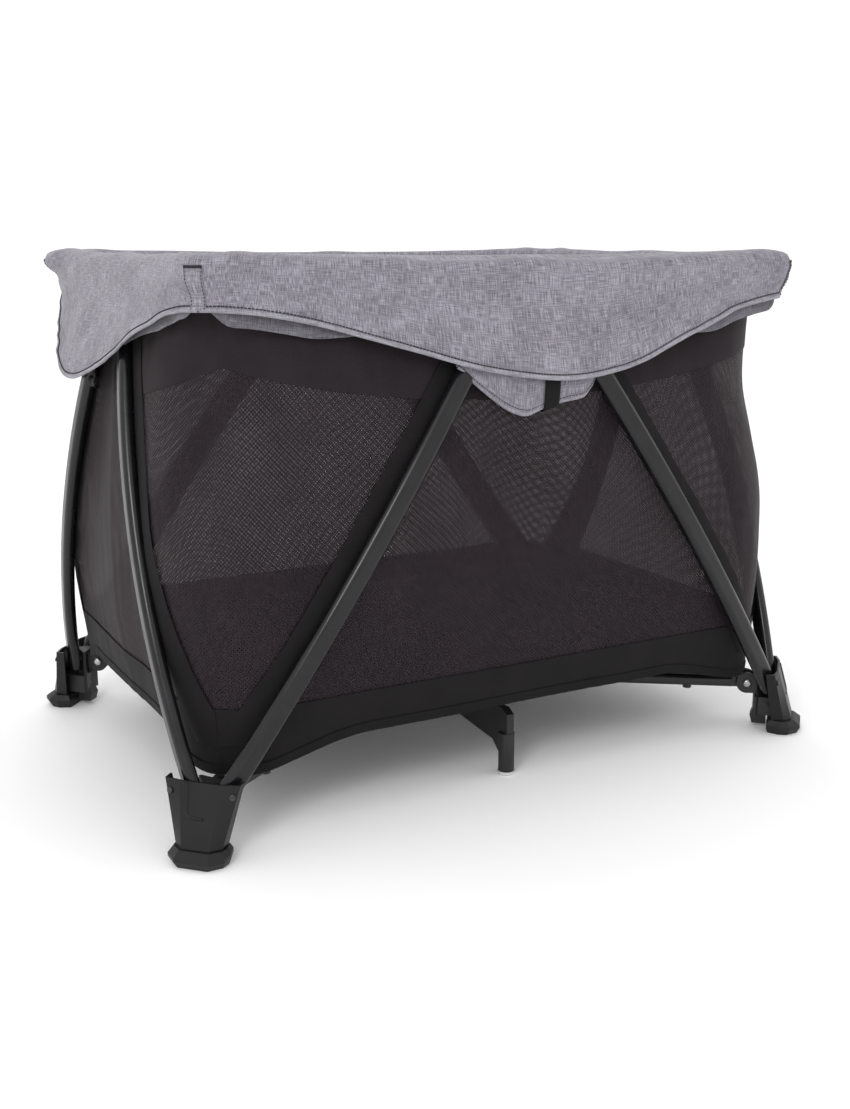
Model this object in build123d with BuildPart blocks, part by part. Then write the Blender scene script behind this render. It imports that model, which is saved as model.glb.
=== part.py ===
"""A full-size folding playpen (travel cot) on four corner feet.

Millimetres, +Z up, standing on the floor at z = 0 with its centre over the origin. The long sides
face -Y (front) and +Y (back), the short sides face -X (left) and +X (right). From every foot two
bowed oval tubes rise: one in the long side and one in the short side. They meet their neighbours
at the middle of each side, where a rail joint carries two folding half rails. Four floor arms run
from the feet to a hub in the middle, which also carries two centre legs.

Every corner piece is drawn in the back right quarter (+X, +Y) and mirrored into its own quarter.
"""

import os
from math import atan2, cos, hypot, pi, sin

from build123d import *

# ---------------------------------------------------------------- driving dimensions
QUARTERS = {"front_left": (-1, -1), "front_right": (1, -1), "back_left": (-1, 1), "back_right": (1, 1)}

RAIL_X = 442.0  # centre line of the short top rails
RAIL_Y = 298.0  # centre line of the long top rails
RAIL_Z = 742.0
RAIL_D = 20.0
RIM_Z = 766.0  # top of the padded rim
WALL_T = 1.5  # wall of the steel tubes

FOOT = (497.0, 343.0)  # middle of a foot on the floor
TUBE_PIN_Z = 82.0
LONG_FOOT_PIVOT = (464.0, 344.0, TUBE_PIN_Z)
SHORT_FOOT_PIVOT = (492.5, 313.0, TUBE_PIN_Z)
LONG_TOP_PIVOT = (35.0, 322.0, 716.0)
SHORT_TOP_PIVOT = (466.0, 35.0, 716.0)
LONG_BOW = 31.0  # outward bow of the tubes at half height
SHORT_BOW = 35.0
LONG_LEAN, SHORT_LEAN = 0.68, 0.44  # rise of the tubes' wide faces along their sides
TUBE_W, TUBE_D = 30.0, 19.0  # oval section: along the side, and across it
TUBE_OVERRUN = 10.0  # tube beyond its pivot

PIN_R = 4.0
GAP = 0.3  # running clearance between moving pieces

ARM_PIVOT = (451.0, 310.0, 78.0)  # floor arm on its foot
HUB_RING = 55.0  # pivots round the hub's axis
HUB_Z = (62.0, 96.0)
HUB_COVER_T = 12.0
ARM_W, ARM_H = 24.0, 19.0
TONGUE_T = 14.4  # ends of the arms and legs between their clevis ears
EAR_T = 6.0
EAR_R = 17.0
EAR_OFFSET = TONGUE_T / 2 + 2 * GAP + EAR_T / 2
LEG_Y = 290.0  # centre leg's end from the middle

PAD_TOP = 21.7
CASING_Z = (22.0, 105.0)
CASING_WALL = 3.0
CORE_TOP = 98.0

SIDE_SPLIT = 147.0  # the four sides meet on vertical planes |x| - |y| = SIDE_SPLIT
FLOOR_Z = (128.0, 131.0)
FLOOR_HALF, FLOOR_R = (474.0, 324.0), 110.0
MATTRESS_Z = (131.4, 157.0)
MATTRESS_HALF, MATTRESS_R = (462.0, 313.0), 105.0
MATTRESS_PARTS = 4
JOINT_HALF = 52.0  # half the length of a rail joint's plate
BUTTON_W = 12.4

ARM_ANGLE = atan2(ARM_PIVOT[1], ARM_PIVOT[0])
ARM_REACH = hypot(ARM_PIVOT[0], ARM_PIVOT[1])
FOOT_PLANE = Plane(origin=(FOOT[0], FOOT[1], 0), x_dir=(1, 1, 0), z_dir=(0, 0, 1))

os.makedirs("parts", exist_ok=True)


def save(part, name):
    part.label = name
    export_step(part, f"parts/{name}.step")


def to_quarter(side_x, side_y):
    """Mirror the part being built from the back right quarter into its own quarter."""
    if side_x < 0:
        mirror(about=Plane.YZ, mode=Mode.REPLACE)
    if side_y < 0:
        mirror(about=Plane.XZ, mode=Mode.REPLACE)


def foot_level(z):
    """A horizontal plane on the foot's own axes: x out along the diagonal, y across it."""
    return FOOT_PLANE.offset(z)


def radial_plane(angle, reach, z, across=0.0):
    """A vertical plane through a pivot: its x runs outward at the angle, and its y runs up."""
    out = Vector(cos(angle), sin(angle), 0)
    side = Vector(sin(angle), -cos(angle), 0)
    origin = out * reach + side * across + Vector(0, 0, z)
    return Plane(origin=origin, x_dir=out, z_dir=side)


# ---------------------------------------------------------------- feet
def outline_sketch(plane, points):
    """One level of a lofted moulding: half an outline, mirrored across the diagonal."""
    with BuildSketch(plane) as level:
        Polygon(*points, *[(r, -t) for r, t in reversed(points)], align=None)
    return level.sketch


def lofted_moulding(levels):
    with BuildPart() as moulding:
        for z, half in levels:
            add(outline_sketch(foot_level(z), half))
        loft(ruled=True)
    return moulding.part


def foot_pad(side_x, side_y):
    levels = (
        (0.0, ((-17, 32), (0, 38), (14, 36), (29, 21))),
        (9.0, ((-19, 36), (2, 42), (18, 40), (34, 24))),
        (14.0, ((-19, 36), (2, 42), (18, 40), (34, 24))),
        (PAD_TOP, ((-15, 33), (4, 36), (12, 34), (24, 21))),
    )
    block = lofted_moulding(levels)
    with BuildPart() as pad:
        add(block)
        to_quarter(side_x, side_y)
    return pad.part


def foot_casing(side_x, side_y):
    low, high = CASING_Z
    outside = (
        (low, ((-12, 33), (8, 33), (20, 20))),
        (high, ((-24, 53), (-10, 53), (-4.5, 30))),
    )
    inside = (
        (low + CASING_WALL, ((-60, 30), (6.4, 30), (17, 18.7))),
        (high, ((-60, 50), (-12.4, 50), (-7.5, 28.6))),
    )
    shell, hollow = lofted_moulding(outside), lofted_moulding(inside)
    with BuildPart() as casing:
        add(shell)
        add(hollow, mode=Mode.SUBTRACT)
        to_quarter(side_x, side_y)
    return casing.part


def foot_core(side_x, side_y):
    """The inner moulding: tube pins, the clevis of the floor arm and the inner toe."""
    out = (cos(ARM_ANGLE), sin(ARM_ANGLE))
    across = (-out[1], out[0])
    inner_y = LONG_FOOT_PIVOT[1] - TUBE_D / 2 - GAP
    inner_x = SHORT_FOOT_PIVOT[0] - TUBE_D / 2 - GAP
    face_reach, down = 16.5, 25.0  # face behind the clevis: out from the arm's pivot, and along
    face = (ARM_PIVOT[0] + face_reach * out[0], ARM_PIVOT[1] + face_reach * out[1])
    up = (inner_y - face[1]) / across[1]
    block = (
        (face[0] + up * across[0], inner_y),
        (inner_x, inner_y),
        (inner_x, face[1] - down * across[1]),
        (face[0] - down * across[0], face[1] - down * across[1]),
    )
    toe = ((-47, 20), (-43, 6), (-21, 6), (-21, 62), (-50, 62), (-36, 52), (-37, 44))
    toe_plane = Plane(origin=FOOT_PLANE.origin, x_dir=(1, 1, 0), z_dir=(1, -1, 0))
    with BuildPart() as core:
        with BuildSketch(Plane.XY.offset(CASING_Z[0] + CASING_WALL + GAP)):
            Polygon(*block, align=None)
        extrude(amount=CORE_TOP - CASING_Z[0] - CASING_WALL - GAP)
        with BuildSketch(foot_level(CASING_Z[0] + CASING_WALL + GAP)):
            with Locations((-19, 0)):
                Rectangle(44, 44)
        extrude(amount=30)
        with BuildSketch(toe_plane):
            Polygon(*toe, align=None)
        extrude(amount=10, both=True)
        for offset in (-EAR_OFFSET, EAR_OFFSET):
            with BuildSketch(radial_plane(ARM_ANGLE, ARM_REACH, ARM_PIVOT[2], offset)):
                Circle(EAR_R)
                with Locations((9, -1.5)):
                    Rectangle(18, 2 * EAR_R - 3)
            extrude(amount=EAR_T / 2, both=True)
        pin_half = EAR_OFFSET + EAR_T / 2 + 2
        with BuildSketch(radial_plane(ARM_ANGLE, ARM_REACH, ARM_PIVOT[2])):
            Circle(PIN_R)
        extrude(amount=pin_half, both=True)
        with BuildSketch(Plane(origin=(LONG_FOOT_PIVOT[0], inner_y - 1, TUBE_PIN_Z), z_dir=(0, 1, 0))):
            Circle(PIN_R)
        extrude(amount=TUBE_D + 2)
        with BuildSketch(Plane(origin=(inner_x - 1, SHORT_FOOT_PIVOT[1], TUBE_PIN_Z), z_dir=(1, 0, 0))):
            Circle(PIN_R)
        extrude(amount=TUBE_D + 2)
        to_quarter(side_x, side_y)
    return core.part


# ---------------------------------------------------------------- bowed tubes
def bowed_tube(foot_pivot, top_pivot, bow, wide_dir, pin_dir, side_x, side_y):
    """An oval steel tube on a shallow arc through its two pivots, with a pin hole at each."""
    bottom, top = Vector(*foot_pivot), Vector(*top_pivot)
    middle = (bottom + top) * 0.5 + bow
    along = (top - bottom).normalized()
    start, end = bottom - along * TUBE_OVERRUN, top + along * TUBE_OVERRUN
    with BuildPart() as tube:
        with BuildLine() as path:
            ThreePointArc(start, middle, end)
        heading = path.line % 0
        with BuildSketch(Plane(origin=start, x_dir=wide_dir, z_dir=heading)):
            SlotOverall(TUBE_W, TUBE_D)
            SlotOverall(TUBE_W - 2 * WALL_T, TUBE_D - 2 * WALL_T, mode=Mode.SUBTRACT)
        sweep()
        for pivot in (bottom, top):
            with BuildSketch(Plane(origin=pivot, z_dir=pin_dir)):
                Circle(PIN_R + GAP)
            extrude(amount=TUBE_D, both=True, mode=Mode.SUBTRACT)
        to_quarter(side_x, side_y)
    return tube.part


def long_tube(side_x, side_y):
    bow = Vector(0, LONG_BOW, 0)
    return bowed_tube(LONG_FOOT_PIVOT, LONG_TOP_PIVOT, bow, (1, 0, LONG_LEAN), (0, 1, 0), side_x, side_y)


def short_tube(side_x, side_y):
    bow = Vector(SHORT_BOW, 0, 0)
    return bowed_tube(SHORT_FOOT_PIVOT, SHORT_TOP_PIVOT, bow, (0, 1, SHORT_LEAN), (1, 0, 0), side_x, side_y)


# ---------------------------------------------------------------- top rails
SHORT_RAIL_END = 236.0
PLATE_Z, PLATE_H, PLATE_R = 727.0, 56.0, 14.0
JOINT_BOTTOM = 704.0  # underside of the block between the half rails
JOINT_BLOCK = (34.0, 22.0, 48.0)  # along the side, across it, high
BUTTON_LOW, BUTTON_H = 693.0, 36.0
BUTTON_POCKET = 34.0
CORNER_START = 392.0
CORNER_END = 262.0
CORNER_R = 30.0
PIVOT_X = LONG_TOP_PIVOT[0]


def half_rail(start, end, pivot_dir, side_x, side_y):
    """A round steel half rail with a pin hole where it hangs in its rail joint."""
    heading = (end - start).normalized()
    with BuildPart() as rail:
        with BuildSketch(Plane(origin=start - heading * RAIL_D / 2, z_dir=heading)):
            Circle(RAIL_D / 2)
            Circle(RAIL_D / 2 - WALL_T, mode=Mode.SUBTRACT)
        extrude(amount=(end - start).length + RAIL_D / 2)
        with BuildSketch(Plane(origin=start, z_dir=pivot_dir)):
            Circle(PIN_R + GAP)
        extrude(amount=RAIL_D, both=True, mode=Mode.SUBTRACT)
        to_quarter(side_x, side_y)
    return rail.part


def long_rail(side_x, side_y):
    start, end = Vector(PIVOT_X, RAIL_Y, RAIL_Z), Vector(CORNER_START, RAIL_Y, RAIL_Z)
    return half_rail(start, end, (0, 1, 0), side_x, side_y)


def short_rail(side_x, side_y):
    start, end = Vector(RAIL_X, PIVOT_X, RAIL_Z), Vector(RAIL_X, SHORT_RAIL_END, RAIL_Z)
    return half_rail(start, end, (1, 0, 0), side_x, side_y)


def rail_corner(side_x, side_y):
    """The moulded elbow on the end of a long half rail, under the corner of the rim."""
    start = (CORNER_START + GAP, RAIL_Y, RAIL_Z)
    with BuildPart() as corner:
        with BuildLine():
            FilletPolyline(
                start, (RAIL_X, RAIL_Y, RAIL_Z), (RAIL_X, CORNER_END, RAIL_Z), radius=CORNER_R
            )
        with BuildSketch(Plane(origin=start, z_dir=(1, 0, 0))):
            Circle(RAIL_D / 2 + 2)
        sweep()
        to_quarter(side_x, side_y)
    return corner.part


def rail_joint(turned, side):
    """The plate at the middle of a side. It is drawn for the back, and turned for the short sides."""
    rail_line = RAIL_X if turned else RAIL_Y
    tube_line = SHORT_TOP_PIVOT[0] if turned else LONG_TOP_PIVOT[1]
    plate_in = rail_line + RAIL_D / 2 + 0.5
    plate_out = tube_line - TUBE_D / 2 - 0.4
    tube_z = LONG_TOP_PIVOT[2]
    with BuildPart() as joint:
        with BuildSketch(Plane(origin=(0, plate_in, 0), x_dir=(1, 0, 0), z_dir=(0, -1, 0))):
            with Locations((0, PLATE_Z)):
                RectangleRounded(2 * JOINT_HALF, PLATE_H, PLATE_R)
        extrude(amount=-(plate_out - plate_in))
        with BuildSketch(Plane.XY.offset(JOINT_BOTTOM)):
            with Locations((0, rail_line)):
                Rectangle(*JOINT_BLOCK[:2])
        extrude(amount=JOINT_BLOCK[2])
        with BuildSketch(Plane.XY.offset(JOINT_BOTTOM)):
            with Locations((0, rail_line)):
                Rectangle(BUTTON_W + 2 * GAP, BUTTON_W + 2 * GAP)
        extrude(amount=BUTTON_POCKET, mode=Mode.SUBTRACT)
        for x in (-PIVOT_X, PIVOT_X):
            with BuildSketch(Plane(origin=(x, plate_in + 1, RAIL_Z), z_dir=(0, -1, 0))):
                Circle(PIN_R)
            extrude(amount=RAIL_D + 3)
        carried = side if turned else -1
        with BuildSketch(Plane(origin=(carried * PIVOT_X, plate_out - 1, tube_z), z_dir=(0, 1, 0))):
            Circle(PIN_R)
        extrude(amount=TUBE_D + 3)
        if turned:
            add(joint.part.rotate(Axis.Z, -90 * side), mode=Mode.REPLACE)
        elif side < 0:
            mirror(about=Plane.XZ, mode=Mode.REPLACE)
    return joint.part


def lock_button(turned, side):
    rail_line = RAIL_X if turned else RAIL_Y
    with BuildPart() as button:
        with BuildSketch(Plane.XY.offset(BUTTON_LOW)):
            with Locations((0, side * rail_line)):
                Rectangle(BUTTON_W, BUTTON_W)
        extrude(amount=BUTTON_H)
        chamfer(button.edges().group_by(Axis.Z)[0], 2)
        if turned:
            add(button.part.rotate(Axis.Z, -90), mode=Mode.REPLACE)
    return button.part


# ---------------------------------------------------------------- floor frame
TONGUE_R, TONGUE_L, TONGUE_H = 11.0, 28.0, 17.0
TUBE_SET_BACK = 24.0  # an arm's tube starts this far from its pivots
BUMP_BACK, BUMP_R, BUMP_H = 95.0, 7.0, 5.0  # rubber bump under an arm
HUB_R, COVER_R = 38.0, 46.0
HUB_EAR_R = 14.0
HUB_EAR_L = 26.0
WEB_HALF = 6.0  # half the thickness of a centre leg's web
POST_R, POST_H = 12.0, 60.0
TIP_R, TIP_H = 13.0, 5.0


def tongue(angle, reach, toward):
    """The flat end of an arm or leg, with its pin hole; the bar lies outward (1) or inward (-1)."""
    with BuildPart() as end:
        with BuildSketch(radial_plane(angle, reach, ARM_PIVOT[2])):
            Circle(TONGUE_R)
            with Locations((toward * TONGUE_L / 2, 0)):
                Rectangle(TONGUE_L, TONGUE_H)
            Circle(PIN_R + GAP, mode=Mode.SUBTRACT)
        extrude(amount=TONGUE_T / 2, both=True)
    return end.part


def floor_arm(side_x, side_y):
    tube_start = HUB_RING + TUBE_SET_BACK
    tube_end = ARM_REACH - TUBE_SET_BACK
    bump = ARM_REACH - BUMP_BACK
    out = Vector(cos(ARM_ANGLE), sin(ARM_ANGLE), 0)
    axis_z = Vector(0, 0, ARM_PIVOT[2])
    ends = tongue(ARM_ANGLE, HUB_RING, 1), tongue(ARM_ANGLE, ARM_REACH, -1)
    with BuildPart() as arm:
        with BuildSketch(Plane(origin=out * tube_start + axis_z, x_dir=(0, 0, 1), z_dir=out)):
            RectangleRounded(ARM_H, ARM_W, 8)
            RectangleRounded(ARM_H - 2 * WALL_T, ARM_W - 2 * WALL_T, 6.5, mode=Mode.SUBTRACT)
        extrude(amount=tube_end - tube_start)
        add(ends)
        bump_at = out * bump + axis_z - Vector(0, 0, ARM_H / 2 + BUMP_H)
        with BuildSketch(Plane(origin=bump_at, z_dir=(0, 0, 1))):
            Circle(BUMP_R)
        extrude(amount=BUMP_H + 1)
        to_quarter(side_x, side_y)
    return arm.part


def hub_body():
    angles = [ARM_ANGLE, pi - ARM_ANGLE, pi + ARM_ANGLE, -ARM_ANGLE, pi / 2, -pi / 2]
    with BuildPart() as hub:
        with BuildSketch(Plane.XY.offset(HUB_Z[0])):
            Circle(HUB_R)
        extrude(amount=HUB_Z[1] - HUB_Z[0])
        for angle in angles:
            for offset in (-EAR_OFFSET, EAR_OFFSET):
                with BuildSketch(radial_plane(angle, HUB_RING, ARM_PIVOT[2], offset)):
                    Circle(HUB_EAR_R)
                    with Locations((-HUB_EAR_L / 2, 0)):
                        Rectangle(HUB_EAR_L, 2 * HUB_EAR_R)
                extrude(amount=EAR_T / 2, both=True)
            with BuildSketch(radial_plane(angle, HUB_RING, ARM_PIVOT[2])):
                Circle(PIN_R)
            extrude(amount=EAR_OFFSET + EAR_T / 2, both=True)
    return hub.part


def hub_cover():
    with BuildPart() as cover:
        with BuildSketch(Plane.XY.offset(HUB_Z[1] + GAP)):
            Circle(COVER_R)
        extrude(amount=HUB_COVER_T)
        fillet(cover.edges().group_by(Axis.Z)[-1], 6)
        with BuildSketch(Plane.XY.offset(HUB_Z[1] + HUB_COVER_T - 5)):
            SlotOverall(56, 16)
        extrude(amount=8, mode=Mode.SUBTRACT)
        with BuildSketch(Plane.YZ.offset(-4)):
            with Locations((0, 102)):
                Rectangle(16, 8)
        extrude(amount=8)
    return cover.part


def centre_leg(side):
    """A deep web from the hub that ends in a short round post on the floor."""
    web = ((79, 87), (LEG_Y - 4, 103), (LEG_Y + 10, 96), (LEG_Y + 11, 34), (LEG_Y - 12, 30),
           (LEG_Y - 30, 45), (150, 53), (79, 68))
    end = tongue(pi / 2, HUB_RING, 1)
    with BuildPart() as leg:
        with BuildSketch(radial_plane(pi / 2, 0, 0)):
            Polygon(*web, align=None)
        extrude(amount=WEB_HALF, both=True)
        add(end)
        with BuildSketch(Plane.XY.offset(TIP_H)):
            with Locations((0, LEG_Y)):
                Circle(POST_R)
        extrude(amount=POST_H)
        if side < 0:
            mirror(about=Plane.XZ, mode=Mode.REPLACE)
    return leg.part


def centre_leg_tip(side):
    with BuildPart() as tip:
        with BuildSketch(Plane.XY):
            with Locations((0, side * LEG_Y)):
                Circle(TIP_R)
        extrude(amount=TIP_H - GAP)
        fillet(tip.edges().group_by(Axis.Z)[0], 1.5)
    return tip.part


# ---------------------------------------------------------------- fabric, as plain closed solids
def side_wedge(turned, side):
    """The wedge of space that belongs to one side, between the split planes of two corners."""
    split, reach, top = SIDE_SPLIT, 450.0, 900.0
    near = split + GAP if turned else -(split - GAP)
    if turned:
        corners = ((near, 0), (near + reach, reach), (near + reach, -reach))
    else:
        corners = ((near, 0), (-near, 0), (reach - near, reach), (near - reach, reach))
    with BuildPart() as wedge:
        with BuildSketch(Plane.XY):
            Polygon(*[(side * x, side * y) for x, y in corners], align=None)
        extrude(amount=top)
    return wedge.part


WALL_LEVELS = (  # height, half length, half width, corner radius
    (101.0, 480.0, 329.0, 90.0),
    (260.0, 503.0, 351.0, 140.0),
    (400.0, 504.0, 352.0, 150.0),
    (560.0, 487.0, 339.0, 150.0),
    (727.0, 455.0, 310.5, 70.0),
)
WALL_SKIN = 3.0


def ring_loft(levels, inset=0.0):
    with BuildPart() as body:
        for z, half_x, half_y, radius in levels:
            with BuildSketch(Plane.XY.offset(z)):
                RectangleRounded(2 * (half_x - inset), 2 * (half_y - inset), radius - inset)
        loft(ruled=True)
    return body.part


def wall(turned, side):
    arch = ((-400, 90), (-380, 101), (-260, 128), (260, 128), (380, 101), (400, 90))
    squeeze = 0.62 if turned else 1.0
    outer, inner, wedge = ring_loft(WALL_LEVELS), ring_loft(WALL_LEVELS, WALL_SKIN), side_wedge(turned, side)
    with BuildPart() as panel:
        add(outer)
        add(inner, mode=Mode.SUBTRACT)
        add(wedge, mode=Mode.INTERSECT)
        with BuildSketch(Plane.YZ if turned else Plane.XZ):
            Polygon(*[(squeeze * x, z) for x, z in arch], align=None)
        extrude(amount=700, both=True, mode=Mode.SUBTRACT)
        across, along = 120, 2 * JOINT_HALF + 16  # notch for the rail joint
        notch = (across, along) if turned else (along, across)
        place = (side * RAIL_X, 0) if turned else (0, side * RAIL_Y)
        with BuildSketch(Plane.XY.offset(690)):
            with Locations(place):
                Rectangle(*notch)
        extrude(amount=60, mode=Mode.SUBTRACT)
    return panel.part


FLAP_OUT = ((600.0, 512.0, 364.0, 60.0), (740.0, 484.0, 341.0, 50.0), (RIM_Z, 476.0, 329.0, 40.0))
FLAP_IN = ((600.0, 508.0, 360.0, 57.0), (740.0, 480.0, 337.0, 47.0), (756.0, 474.0, 327.0, 38.0))


def rim_flap(turned, side):
    """The padded rim over the rails, with a short inner hem and a long outer flap."""
    inner_leg = (706.0, 420.0, 276.0)
    skin = 4.0
    outer, inner, wedge = ring_loft(FLAP_OUT), ring_loft(FLAP_IN), side_wedge(turned, side)
    with BuildPart() as flap:
        add(outer)
        add(inner, mode=Mode.SUBTRACT)
        with BuildSketch(Plane.XY.offset(inner_leg[0])):
            RectangleRounded(2 * (inner_leg[1] + skin), 2 * (inner_leg[2] + skin), 30)
        extrude(amount=RIM_Z - inner_leg[0])
        with BuildSketch(Plane.XY.offset(inner_leg[0])):
            RectangleRounded(2 * inner_leg[1], 2 * inner_leg[2], 26)
        extrude(amount=RIM_Z - inner_leg[0], mode=Mode.SUBTRACT)
        add(wedge, mode=Mode.INTERSECT)
    return flap.part


def floor_panel():
    with BuildPart() as panel:
        with BuildSketch(Plane.XY.offset(FLOOR_Z[0])):
            RectangleRounded(2 * FLOOR_HALF[0], 2 * FLOOR_HALF[1], FLOOR_R)
        extrude(amount=FLOOR_Z[1] - FLOOR_Z[0])
    return panel.part


def mattress():
    """A quilted pad in equal board-stiffened parts, with a fold line between each two."""
    length, width, fold = 2 * MATTRESS_HALF[0], 2 * MATTRESS_HALF[1], 3.0
    with BuildPart() as pad:
        with BuildSketch(Plane.XY.offset(MATTRESS_Z[0])):
            RectangleRounded(length, width, MATTRESS_R)
        extrude(amount=MATTRESS_Z[1] - MATTRESS_Z[0])
        for n in range(1, MATTRESS_PARTS):
            with BuildSketch(Plane.XY.offset(MATTRESS_Z[0])):
                with Locations((length * (n / MATTRESS_PARTS - 0.5), 0)):
                    Rectangle(fold, width + 10)
            extrude(amount=MATTRESS_Z[1] - MATTRESS_Z[0], mode=Mode.SUBTRACT)
    return pad.part


# ---------------------------------------------------------------- write every sub-part
QUARTER_PIECES = (
    foot_pad, foot_casing, foot_core, long_tube, short_tube, long_rail, short_rail, rail_corner, floor_arm,
)
SIDES = {"front": (False, -1), "back": (False, 1), "left": (True, -1), "right": (True, 1)}

for quarter, (side_x, side_y) in QUARTERS.items():
    for piece in QUARTER_PIECES:
        save(piece(side_x, side_y), f"{piece.__name__}_{quarter}")

for name, (turned, side) in SIDES.items():
    for piece in (rail_joint, lock_button, wall, rim_flap):
        save(piece(turned, side), f"{piece.__name__}_{name}")

for name, side in (("front", -1), ("back", 1)):
    save(centre_leg(side), f"centre_leg_{name}")
    save(centre_leg_tip(side), f"centre_leg_tip_{name}")

for piece in (hub_body, hub_cover, floor_panel, mattress):
    save(piece(), piece.__name__)
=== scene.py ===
import math

import bpy
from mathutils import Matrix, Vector, noise


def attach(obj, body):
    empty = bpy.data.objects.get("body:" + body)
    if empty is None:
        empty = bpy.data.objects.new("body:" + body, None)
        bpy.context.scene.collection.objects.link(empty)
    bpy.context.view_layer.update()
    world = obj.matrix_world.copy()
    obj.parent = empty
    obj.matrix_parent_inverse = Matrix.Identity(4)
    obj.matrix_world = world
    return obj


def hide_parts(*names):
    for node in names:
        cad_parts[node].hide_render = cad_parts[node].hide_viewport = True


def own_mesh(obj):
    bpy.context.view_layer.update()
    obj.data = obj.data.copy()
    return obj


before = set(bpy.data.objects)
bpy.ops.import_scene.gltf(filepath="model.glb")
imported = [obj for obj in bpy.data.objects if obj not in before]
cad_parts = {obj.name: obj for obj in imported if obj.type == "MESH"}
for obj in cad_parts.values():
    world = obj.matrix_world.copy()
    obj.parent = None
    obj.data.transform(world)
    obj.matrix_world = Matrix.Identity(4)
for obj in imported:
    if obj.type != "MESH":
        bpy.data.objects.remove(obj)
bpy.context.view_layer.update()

# ------------------------------------------------------------------ driving dimensions, metres
SIDES = ("front", "right", "back", "left")  # each is the one before, turned a quarter
LONG_SIDES = ("front", "back")
QUARTERS = {"front_left": (-1, -1), "front_right": (1, -1), "back_left": (-1, 1), "back_right": (1, 1)}
HALF = {"front": 0.462, "back": 0.462, "left": 0.318, "right": 0.318}  # to where the corner turns

# height, half length, half width, corner radius of the net walls
WALL_RING = (
    (0.090, 0.478, 0.327, 0.088),
    (0.170, 0.490, 0.338, 0.112),
    (0.260, 0.502, 0.350, 0.140),
    (0.330, 0.505, 0.353, 0.150),
    (0.400, 0.504, 0.352, 0.155),
    (0.480, 0.497, 0.347, 0.175),
    (0.560, 0.487, 0.339, 0.190),
    (0.640, 0.474, 0.328, 0.150),
    (0.735, 0.454, 0.310, 0.070),
)
# the same for the flap that hangs from the rim
FLAP_RING = (
    (0.560, 0.524, 0.374, 0.105),
    (0.600, 0.518, 0.368, 0.100),
    (0.650, 0.504, 0.357, 0.085),
    (0.700, 0.489, 0.344, 0.062),
    (0.735, 0.485, 0.340, 0.042),
    (0.770, 0.482, 0.337, 0.034),
)
# how far in from the flap, and how high, the rim's padding runs
RIM_OVER = (
    (0.0, 0.752), (0.0035, 0.7595), (0.009, 0.7635), (0.017, 0.766), (0.027, 0.7665), (0.037, 0.7645),
    (0.046, 0.7595), (0.0525, 0.7515), (0.0555, 0.742), (0.0562, 0.728), (0.0565, 0.705),
)
TUBE_LOW, TUBE_HIGH = 0.082, 0.716  # heights of the tubes' pivots
TUBE_RUN = {  # how far along their side the tubes are at those heights
    "front": (0.464, 0.035), "back": (0.464, 0.035), "left": (0.313, 0.035), "right": (0.313, 0.035),
}
ARM_END = Vector((0.451, 0.310, 0.078))  # a floor arm's pivot on its foot
FOOT = Vector((0.497, 0.343, 0.0))  # the middle of a foot
WALL_TOP, WALL_MIDDLE = 0.735, 0.4  # heights
RIM_EDGE = 0.752  # height where the flap turns over the rail
CORNER_HEM = 0.698  # the flap's lower edge at the corners
RIM_CUT = 0.235  # the rim's cut from its inner hem to its outer one
HEM_INSET = 0.0062  # topstitch above the hem
STITCH_PITCH = 0.0042
FLAP_LOW = {  # the flap's lowest height, and where along the side that is
    "front": (0.598, 0.045), "back": (0.598, 0.045), "left": (0.583, -0.118), "right": (0.583, 0.020),
}
EAR, EAR_OUT, EAR_REACH = Vector((-0.480, 0.335, 0)), 0.021, 0.065  # a rim corner that is pulled outward
RIM_ROWS, OVER_SHARE = 56, 0.36  # rows of the rim's grid, and the share of them that lies over the rail


# ------------------------------------------------------------------ small helpers
def between(value, low, high):
    """0 below low, 1 above high, and smooth between."""
    t = min(1.0, max(0.0, (value - low) / (high - low)))
    return t * t * (3 - 2 * t)


def blended(a, b, t):
    return a + (b - a) * t


def ring_at(ring, z):
    """Half length, half width and radius of a ring at a height, on a smooth curve through its rows."""
    last = len(ring) - 1
    k = 0
    while k < last - 1 and z > ring[k + 1][0]:
        k += 1
    t = min(1.0, max(0.0, (z - ring[k][0]) / (ring[k + 1][0] - ring[k][0])))
    before, after = ring[max(k - 1, 0)], ring[min(k + 2, last)]
    sizes = []
    for n in (1, 2, 3):
        a, b, c, d = before[n], ring[k][n], ring[k + 1][n], after[n]
        curve = 2 * b + (c - a) * t + (2 * a - 5 * b + 4 * c - d) * t**2 + (3 * b - a - 3 * c + d) * t**3
        sizes.append(curve / 2)
    return sizes


def to_world(side, along, out, z):
    """A point of the side that is drawn for the front: along runs to the right, seen from outside."""
    return {
        "front": Vector((along, -out, z)),
        "right": Vector((out, along, z)),
        "back": Vector((-along, out, z)),
        "left": Vector((-out, -along, z)),
    }[side]


def on_ring(side, size, q, z, lift=0.0):
    """A point on a side of a rounded rectangle: q from -1 to 1 between the middles of its two corners."""
    half_x, half_y, radius = size
    half, out = (half_x, half_y) if side in LONG_SIDES else (half_y, half_x)
    straight = half - radius
    p = q * (straight + radius * math.pi / 4)
    turn = max(0.0, abs(p) - straight) / radius
    along = min(abs(p), straight) + (radius + lift) * math.sin(turn)
    return to_world(side, math.copysign(along, p), out - radius + (radius + lift) * math.cos(turn), z)


def share_at(side, size, along):
    """The q of on_ring for a distance along the side."""
    half_x, half_y, radius = size
    half = half_x if side in LONG_SIDES else half_y
    straight = half - radius
    p = min(abs(along), straight)
    if abs(along) > straight:
        p += radius * math.asin(min(0.99, (abs(along) - straight) / radius))
    return math.copysign(p / (straight + radius * math.pi / 4), along)


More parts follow.
